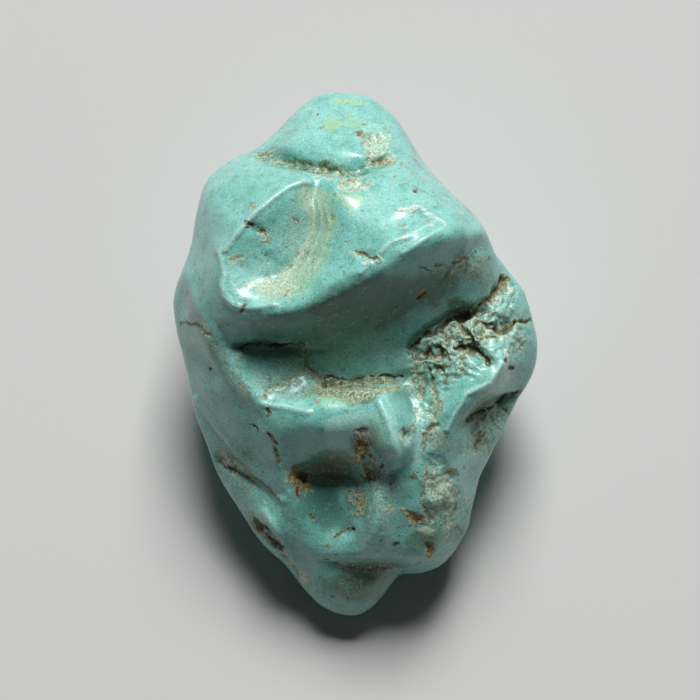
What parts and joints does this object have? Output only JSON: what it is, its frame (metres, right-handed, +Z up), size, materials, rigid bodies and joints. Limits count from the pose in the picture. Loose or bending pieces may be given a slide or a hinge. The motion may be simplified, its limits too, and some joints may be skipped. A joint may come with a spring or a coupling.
{
  "type": "raw turquoise nugget",
  "caption": "Tumbled raw turquoise nugget with a scooped brow, a stepped ledge, a crumbled matrix seam and pitted round lobes.",
  "frame": {"origin": "middle of the stone's bounding box, on the plane of the worn flat that it rests on", "axes": "+Z up from the worn flat, +Y along the stone's length towards its crown, +X to the right of the face seen from above"},
  "size_m": [0.0242, 0.0346, 0.0193],
  "materials": {
    "turquoise": "tumbled, waxy polish with dull brown matrix in the pits"
  },
  "bodies": {
    "root": {"nugget": "turquoise"}
  },
  "joints": []
}
